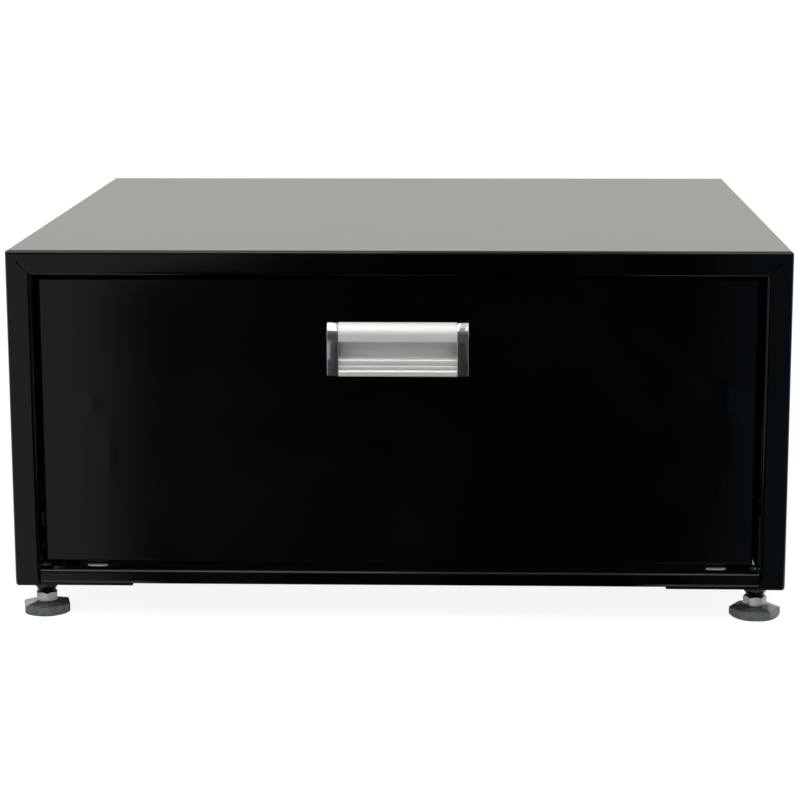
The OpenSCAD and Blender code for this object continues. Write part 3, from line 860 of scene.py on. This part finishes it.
@dataclass
class ScrewFoot:
    """One foot: a threaded stud in a hexagonal plastic foot.

    Attributes:
        end: "front" or "rear".
        side: "left" or "right".
        turn: how far the foot is turned, in degrees.
        reach_x: distance of the feet from the middle plane.
        reach_y: distance of the feet from the middle, front to back.
        around: points around the foot.
        corner: exponent p of the hexagon, larger for sharper corners.
        blend: exponent q of the turned cut, larger for a sharper edge.
        least: smallest cosine that is raised to p.
        pitch: pitch of the thread.
        low: lower end of the stud.
        high: upper end of the stud.
        root: radius of the thread's root.
        thread: depth of the thread.
        point: length of the stud's narrowing at the top and at the bottom.
        tip: share of the radius left at both ends.
        stud_around: points around the stud.
        stud_rings: rings per turn of the thread.
    """

    end: str
    side: str
    turn: float = 0.0
    reach_x: float = 0.279
    reach_y: float = 0.260
    around: int = 180
    corner: float = 70.0
    blend: float = 60.0
    least: float = 1e-6
    pitch: float = 0.0015
    low: float = 0.0034
    high: float = 0.0398
    root: float = 0.0041
    thread: float = 0.0009
    point: Pair = (0.0012, 0.0006)
    tip: float = 0.86
    stud_around: int = 36
    stud_rings: int = 10

    @property
    def where(self) -> str:
        """End and side, as the CAD nodes name them."""
        return f"{self.end}_{self.side}"

    @property
    def centre(self) -> np.ndarray:
        """Where the foot's axis meets the floor."""
        x = self.reach_x if self.side == "right" else -self.reach_x
        y = self.reach_y if self.end == "rear" else -self.reach_y
        return np.array([x, y, 0.0])

    def pad(self) -> Object:
        """The hexagonal foot: nested hexagons that a surface of revolution cuts.

        At the angle t, a hexagon whose flats lie at the distance a has the radius
        h(t) = a / (sum over its six flats of max(cos(t - pi / 6 - k pi / 3), 0)^p)^(1 / p), which rounds its
        corners a little. Height falls evenly with a over the top, so the six facets there are flat. Where the
        surface of revolution c is smaller it cuts the hexagon: the radius is (h(t)^-q + c^-q)^(-1 / q).

        Returns:
            The foot.
        """
        t = np.linspace(0, 2 * np.pi, self.around, endpoint=False)
        k = np.arange(6)[:, None]
        flat = np.maximum(np.cos(t[None] - k * np.pi / 3 - np.pi / 6), self.least) ** self.corner
        # Distance a of the flats, radius c of the cut, and height of each ring, in millimetres.
        rows = np.array([
            (60, 0.1, 1.2), (60, 8.0, 1.2), (60, 12.9, 1.2), (60, 13.0, 1.0), (60, 13.1, 0.12),
            (60, 13.3, 0.0), (60, 15.0, 0.0), (17.6, 17.6, 0.0), (17.6, 18.0, 0.08), (17.6, 18.3, 0.3),
            (17.6, 19.2, 0.95), (17.6, 20.1, 1.6), (17.6, 20.3, 1.9), (17.6, 20.35, 3.0),
            (17.6, 20.35, 5.5), (17.6, 20.3, 6.7), (17.56, 20.2, 6.95), (17.45, 20.05, 7.12),
            (17.25, 19.85, 7.24), (17.0, 19.6, 7.33), (14.5, 40, 7.91), (12.0, 40, 8.49), (9.5, 40, 9.08),
            (8.9, 40, 9.2), (8.6, 40, 9.26), (8.2, 40, 9.3), (7.0, 40, 9.3), (60, 4.9, 9.3),
        ]) / 1000
        hexagon = rows[:, :1] / flat.sum(0)[None] ** (1 / self.corner)
        radius = (hexagon ** -self.blend + rows[:, 1:2] ** -self.blend) ** (-1 / self.blend)
        z = np.repeat(rows[:, 2:], self.around, axis=1)
        a = t + math.radians(self.turn)
        grid = np.stack([radius * np.cos(a), radius * np.sin(a), z], -1) + self.centre
        return grid_mesh(f"foot_pad_{self.where}", grid)

    def stud(self) -> Object:
        """The threaded stud.

        At the height z and the angle t its radius is (root + thread * w) * s. The wave w runs from 1 to 0
        and back, with flats at both, for each whole step of z / pitch + t / 2 pi. The share s is 1 but at
        the two ends, where it falls to tip.

        Returns:
            The stud.
        """
        steps = int((self.high - self.low) / self.pitch * self.stud_rings)
        z = np.linspace(self.low, self.high, steps)[:, None]
        t = np.linspace(0, 2 * np.pi, self.stud_around, endpoint=False)[None]
        phase = (z / self.pitch + t / (2 * np.pi)) % 1.0
        # A saw wave, stretched from 1 to 1.2 and cut off on both sides for the flats.
        wave = np.clip(np.abs(phase - 0.5) * 2.4 - 0.1, 0, 1)
        top, bottom = self.point
        lead = np.clip((self.high - z) / top, 0, 1) * np.clip((z - self.low) / bottom, 0, 1)
        radius = (self.root + self.thread * wave) * (self.tip + (1 - self.tip) * lead)
        z = np.repeat(z, self.stud_around, axis=1)
        grid = np.stack([radius * np.cos(t), radius * np.sin(t), z], -1) + self.centre
        return grid_mesh(f"foot_stud_{self.where}", grid)

    def build(self) -> None:
        """Makes the foot and dresses its lock nut."""
        where = self.where
        piece(self.pad(), Slot.FOOT, f"foot_{where}", f"pad_{where}", angle=50)
        piece(self.stud(), Slot.ZINC, f"foot_{where}", f"stud_{where}", angle=60)
        dress(DARKER_ZINC, f"lock_nut_{where}")


# How far the rear feet happen to be turned, in degrees. The front feet are turned the other way.
FOOT_TURN = {"left": -43.0, "right": 0.0}


# ------------ studio


@dataclass(frozen=True)
class Lamp:
    """A soft rectangular lamp.

    Attributes:
        name: its name.
        at: where it hangs.
        to: the point that it is aimed at.
        size: its width and length.
        radiance: brightness of its face.
    """

    name: str
    at: Point
    to: Point
    size: Pair
    radiance: float

    def hang(self) -> None:
        """Adds the lamp to the scene."""
        data = bpy.data.lights.new(self.name, "AREA")
        data.shape = "RECTANGLE"
        data.size, data.size_y = self.size
        data.energy = self.radiance * math.pi * self.size[0] * self.size[1]
        lamp = bpy.data.objects.new(self.name, data)
        aim = (Vector(self.to) - Vector(self.at)).to_track_quat("-Z", "Y")
        lamp.matrix_world = Matrix.Translation(Vector(self.at)) @ aim.to_matrix().to_4x4()
        bpy.context.scene.collection.objects.link(lamp)


def level(x: Pair, y: Pair, z: float) -> Corners:
    """Gives the corners of a level card between two values of x and two of y."""
    return (x[0], y[0], z), (x[1], y[0], z), (x[1], y[1], z), (x[0], y[1], z)


@dataclass
class Studio:
    """Floor, sky, lamps, the cards that the gloss mirrors, and the camera.

    Each ramp is (low, high, value at low, value at high).

    Attributes:
        eye: where the camera stands.
        azimuth: how far to the right it stands about Z, in degrees.
        elevation: how far it looks down, in degrees.
        roll: its roll, in degrees.
        lens: focal length in mm.
        sensor: width of the sensor in mm.
        fill: strength of the sky's light.
        warm: colour of the sky in the gloss.
        sky_tone: ramps that add up to the sky's tone in the gloss, over the height of the ray.
        floor_reach: how far the floor goes from the origin, each way.
        plain: grey of the floor in scattered light.
        glimmer: the floor's own brightness in the shade under the box, and in the open.
        pale: grey of the floor under the lamps, as a share of that brightness.
        shade_x: ramp of |x| over which the shade ends.
        shade_y: the same for y, counted from shade_mid.
        shade_mid: the y of the shade's middle.
        card_z: height of the cards over the floor.
        ahead: ranges of x and y of the card ahead of the drawer.
        under: the same of the card under the box.
        fan: the point (x, y) from which the tones of the card ahead fan out.
        card_tone: ramps that add up to that card's grey left and black middle.
        card_right: ramp that lightens it at the right.
        card_bend: ramp over y by which its grey reaches further in far out.
        card_cool: ramp over which it turns cooler.
        beside: ramp of |x| from the middle out to the feet.
        near: ramp over y of the near-white ends of the card ahead.
        below: ramp over y of the pale ends of the card under the box.
        dark: tone of the rest of it.
        drape_at: corners of the drape.
        drape_tone: ramps over its height that add up to its tone.
        lamps: the lamps.
    """

    eye: Point = (0.0652, -2.0848, 0.5247)
    azimuth: float = 2.01
    elevation: float = 10.96
    roll: float = -0.15
    lens: float = 107.9
    sensor: float = 36.0
    fill: float = 0.62
    warm: Rgb = (1.0, 1.0, 0.94)
    sky_tone: tuple[Ramp, ...] = (
        (0.02, 0.2, 0.5, 0.93), (0.165, 0.24, 0.0, 0.8), (0.26, 0.4, 0.0, -0.4), (0.4, 0.8, 0.0, -0.33),
    )
    floor_reach: float = 30.0
    plain: float = 0.8
    glimmer: Pair = (0.12, 0.9)
    pale: float = 0.28
    shade_x: Pair = (0.292, 0.314)
    shade_y: Pair = (0.195, 0.23)
    shade_mid: float = 0.0675
    card_z: float = 0.0005
    ahead: tuple[Pair, Pair] = ((-3.0, 3.0), (-5.0, -0.283))
    under: tuple[Pair, Pair] = ((-0.3, 0.3), (-0.283, 0.28))
    fan: Pair = (0.065, 1.545)
    card_tone: tuple[Ramp, ...] = ((-0.182, -0.135, 0.44, 0.045), (-0.135, -0.05, 0.0, -0.045))
    card_right: Ramp = (0.08, 0.12, 0.0, 0.1)
    card_bend: Ramp = (-2.55, -2.05, 0.06, 0.0)
    card_cool: Pair = (-0.17, -0.13)
    beside: Pair = (0.18, 0.22)
    near: Ramp = (-0.375, -0.335, 0.0, 0.95)
    below: Ramp = (-0.2, -0.15, 0.6, 0.0)
    dark: float = 0.015
    drape_at: Corners = ((-6.0, -3.5, 0.0), (6.0, -3.5, 0.0), (6.0, -3.5, 5.2), (-6.0, -3.5, 5.2))
    drape_tone: tuple[Ramp, ...] = ((1.5, 2.3, 0.05, 0.14), (2.4, 4.2, 0.0, 0.32))
    lamps: tuple[Lamp, ...] = (
        Lamp("Left_softbox", (-1.25, -0.6, 1.75), (0, 0, 0.15), (1.2, 1.2), 3.2),
        Lamp("Left_strip", (-0.42, -1.2, 2.05), (-0.42, -1.2, 0), (0.7, 1.7), 1.7),
        Lamp("Right_strip", (0.65, -1.2, 2.05), (0.65, -1.2, 0), (0.6, 1.7), 1.2),
    )

    def camera(self) -> None:
        """Places the camera: its axes are the right, up and back directions of the three angles."""
        a, e, r = (math.radians(v) for v in (self.azimuth, self.elevation, self.roll))
        back = np.array([math.sin(a) * math.cos(e), -math.cos(a) * math.cos(e), math.sin(e)])
        right = np.cross(-back, [0, 0, 1])
        right /= np.linalg.norm(right)
        up = np.cross(right, -back)
        right, up = math.cos(r) * right + math.sin(r) * up, math.cos(r) * up - math.sin(r) * right
        data = bpy.data.cameras.new("Camera")
        data.lens, data.sensor_width = self.lens, self.sensor
        cam = bpy.data.objects.new("Camera", data)
        axes = Matrix(np.stack([right, up, back], 1).tolist()).to_4x4()
        cam.matrix_world = Matrix.Translation(Vector(self.eye)) @ axes
        bpy.context.scene.collection.objects.link(cam)
        bpy.context.scene.camera = cam

    def seen(self, b: Bench) -> Socket:
        """Finds the rays that show the background: camera, glossy and transmission rays.

        Args:
            b: bench of the material.

        Returns:
            A socket that is 1 for such a ray.
        """
        path = b.add("LightPath").outputs
        both = b.math("MAXIMUM", path["Is Camera Ray"], path["Is Glossy Ray"])
        return b.math("MAXIMUM", both, path["Is Transmission Ray"])

    def sky(self) -> None:
        """A white sky, which lights the scene at the strength fill.

        The gloss sees it a little warmer, and by a tone that depends on the height of the ray: dimmest at the
        horizon, brightest a quarter of the way up, and white overhead.
        """
        world = bpy.data.worlds.new("Sky")
        world.use_nodes = True
        world.node_tree.nodes.clear()
        b = Bench(world.node_tree)
        path = b.add("LightPath").outputs
        up = b.add("SeparateXYZ", {0: b.add("TexCoord").outputs["Generated"]}).outputs["Z"]
        in_gloss = b.math("MULTIPLY", path["Is Glossy Ray"], b.curve(up, *self.sky_tone))
        seen = b.math("MAXIMUM", path["Is Camera Ray"], path["Is Transmission Ray"])
        strength = b.math("MAXIMUM", b.math("MAXIMUM", seen, in_gloss), self.fill)
        tint = b.tint(path["Is Glossy Ray"], (1.0, 1.0, 1.0), self.warm)
        b.end(b.add("Background", {"Color": tint, "Strength": strength}).outputs[0], "OutputWorld")
        bpy.context.scene.world = world

    def floor(self) -> None:
        """A pale floor. Seen directly or in the gloss it is near white and keeps a light shadow.

        Its own brightness falls to a shade under the box, which ends behind the front feet. Each quarter
        rides on the foot that stands on it, so that a foot that is screwed out still stands on the floor.
        """
        quarters = []
        for end, y in zip(ENDS, (-self.floor_reach, self.floor_reach)):
            for side, x in zip(SIDES, (-self.floor_reach, self.floor_reach)):
                obj = self.card(f"Floor_{end}_{side}", level((0, x), (0, y), 0))
                quarters.append(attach(obj, f"foot_{end}_{side}"))
        b = self.blank(quarters[0])
        for obj in quarters[1:]:
            obj.data.materials.append(quarters[0].data.materials[0])
        plain = b.add("BsdfDiffuse", {"Color": (self.plain, self.plain, self.plain, 1)})
        at = b.axes()
        open_x = b.ramp(b.math("ABSOLUTE", at["X"]), *self.shade_x, *self.glimmer)
        from_mid = b.math("SUBTRACT", at["Y"], self.shade_mid)
        open_y = b.ramp(b.math("ABSOLUTE", from_mid), *self.shade_y, *self.glimmer)
        lit = b.math("MAXIMUM", open_x, open_y)
        shine = b.add("Emission", {"Color": (1, 1, 1, 1), "Strength": lit})
        pale = b.add("BsdfDiffuse", {"Color": b.math("MULTIPLY", lit, self.pale)})
        white = b.add("AddShader", {0: pale.outputs[0], 1: shine.outputs[0]})
        b.end(b.add("MixShader", {0: self.seen(b), 1: plain.outputs[0], 2: white.outputs[0]}).outputs[0])

    def card(self, name: str, corners: Corners) -> Object:
        """Makes a flat card of the stage.

        Args:
            name: its name.
            corners: its four corners.

        Returns:
            The card.
        """
        mesh = bpy.data.meshes.new(name)
        mesh.from_pydata([list(c) for c in corners], [], [(0, 1, 2, 3)])
        obj = bpy.data.objects.new(name, mesh)
        bpy.context.scene.collection.objects.link(obj)
        return obj

    def blank(self, obj: Object) -> Bench:
        """Gives a stage object an empty material.

        Args:
            obj: the object.

        Returns:
            The bench of its material.
        """
        made = bpy.data.materials.new(obj.name)
        made.use_nodes = True
        made.node_tree.nodes.clear()
        obj.data.materials.append(made)
        return Bench(made.node_tree)

    def gloss_card(self, name: str, corners: Corners) -> Bench:
        """Makes a card that only the gloss shows.

        Args:
            name: its name.
            corners: its four corners.

        Returns:
            The bench of its material.
        """
        obj = self.card(name, corners)
        for flag in ("camera", "diffuse", "shadow", "transmission", "volume_scatter"):
            setattr(obj, "visible_" + flag, False)
        return self.blank(obj)

    def glow(self, b: Bench, tone: Socket | float, cool: Socket | None = None) -> None:
        """Ends a card's material with an emission.

        Args:
            b: bench of the material.
            tone: how bright it is.
            cool: 1 where it is bluish, if it is anywhere.
        """
        shine = b.add("Emission", {"Color": (0.97, 0.99, 1.0, 1), "Strength": tone})
        if cool is not None:
            b.feed(shine.inputs["Color"], b.tint(cool, (1.0, 1.0, 0.98), (0.6, 0.95, 1.25)))
        b.end(shine.outputs[0])

    def at_feet(self, b: Bench, x: Socket) -> Socket:
        """0 across the middle of the box, and 1 from just inside the feet outwards."""
        return b.ramp(b.math("ABSOLUTE", x), *self.beside)

    def black_card(self) -> None:
        """A dark card on the floor ahead of the drawer.

        Its tone depends on u = (x - fan x) / (fan y - y): grey at the left, near black and cooler from there
        on, and a little lighter at the right. Far out the grey reaches further in. Just ahead of the feet it
        is near white.
        """
        b = self.gloss_card("Black_card", level(*self.ahead, self.card_z))
        at = b.axes()
        across = b.math("SUBTRACT", at["X"], self.fan[0])
        u = b.math("DIVIDE", across, b.math("SUBTRACT", self.fan[1], at["Y"]))
        slant = b.math("SUBTRACT", u, b.ramp(at["Y"], *self.card_bend))
        tone = b.math("ADD", b.curve(slant, *self.card_tone), b.ramp(u, *self.card_right))
        near = b.math("MULTIPLY", b.ramp(at["Y"], *self.near), self.at_feet(b, at["X"]))
        cool = b.math("MULTIPLY", b.ramp(slant, *self.card_cool), b.math("SUBTRACT", 1.0, near))
        self.glow(b, b.math("MAXIMUM", tone, near), cool)

    def dark_space(self) -> None:
        """A dark card under the box, for the shade between its sheets and the floor.

        It is pale by the front feet.
        """
        b = self.gloss_card("Under_card", level(*self.under, self.card_z))
        at = b.axes()
        pale = b.math("MULTIPLY", b.ramp(at["Y"], *self.below), self.at_feet(b, at["X"]))
        self.glow(b, b.math("MAXIMUM", pale, self.dark))

    def drape(self) -> None:
        """A dark drape beyond the camera, so that only what looks well up shows the white sky.

        Its tone rises with height, from near black to grey at its top.
        """
        b = self.gloss_card("Drape", self.drape_at)
        self.glow(b, b.curve(b.axes()["Z"], *self.drape_tone))

    def build(self) -> None:
        """Sets the whole stage."""
        self.camera()
        self.sky()
        self.floor()
        self.black_card()
        self.dark_space()
        self.drape()
        for lamp in self.lamps:
            lamp.hang()
        bpy.context.scene.view_settings.view_transform = "Standard"


def main() -> None:
    """Builds the stage and each sub-assembly in order."""
    logging.basicConfig(level=logging.INFO, format="%(message)s")
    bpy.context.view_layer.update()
    Studio().build()
    Cabinet().build()
    Runners().build()
    Drawer().build()
    FlushPull().build()
    for end in ENDS:
        for side in SIDES:
            ScrewFoot(end, side, FOOT_TURN[side] * (1 if end == "rear" else -1)).build()


if __name__ == "__main__":
    main()
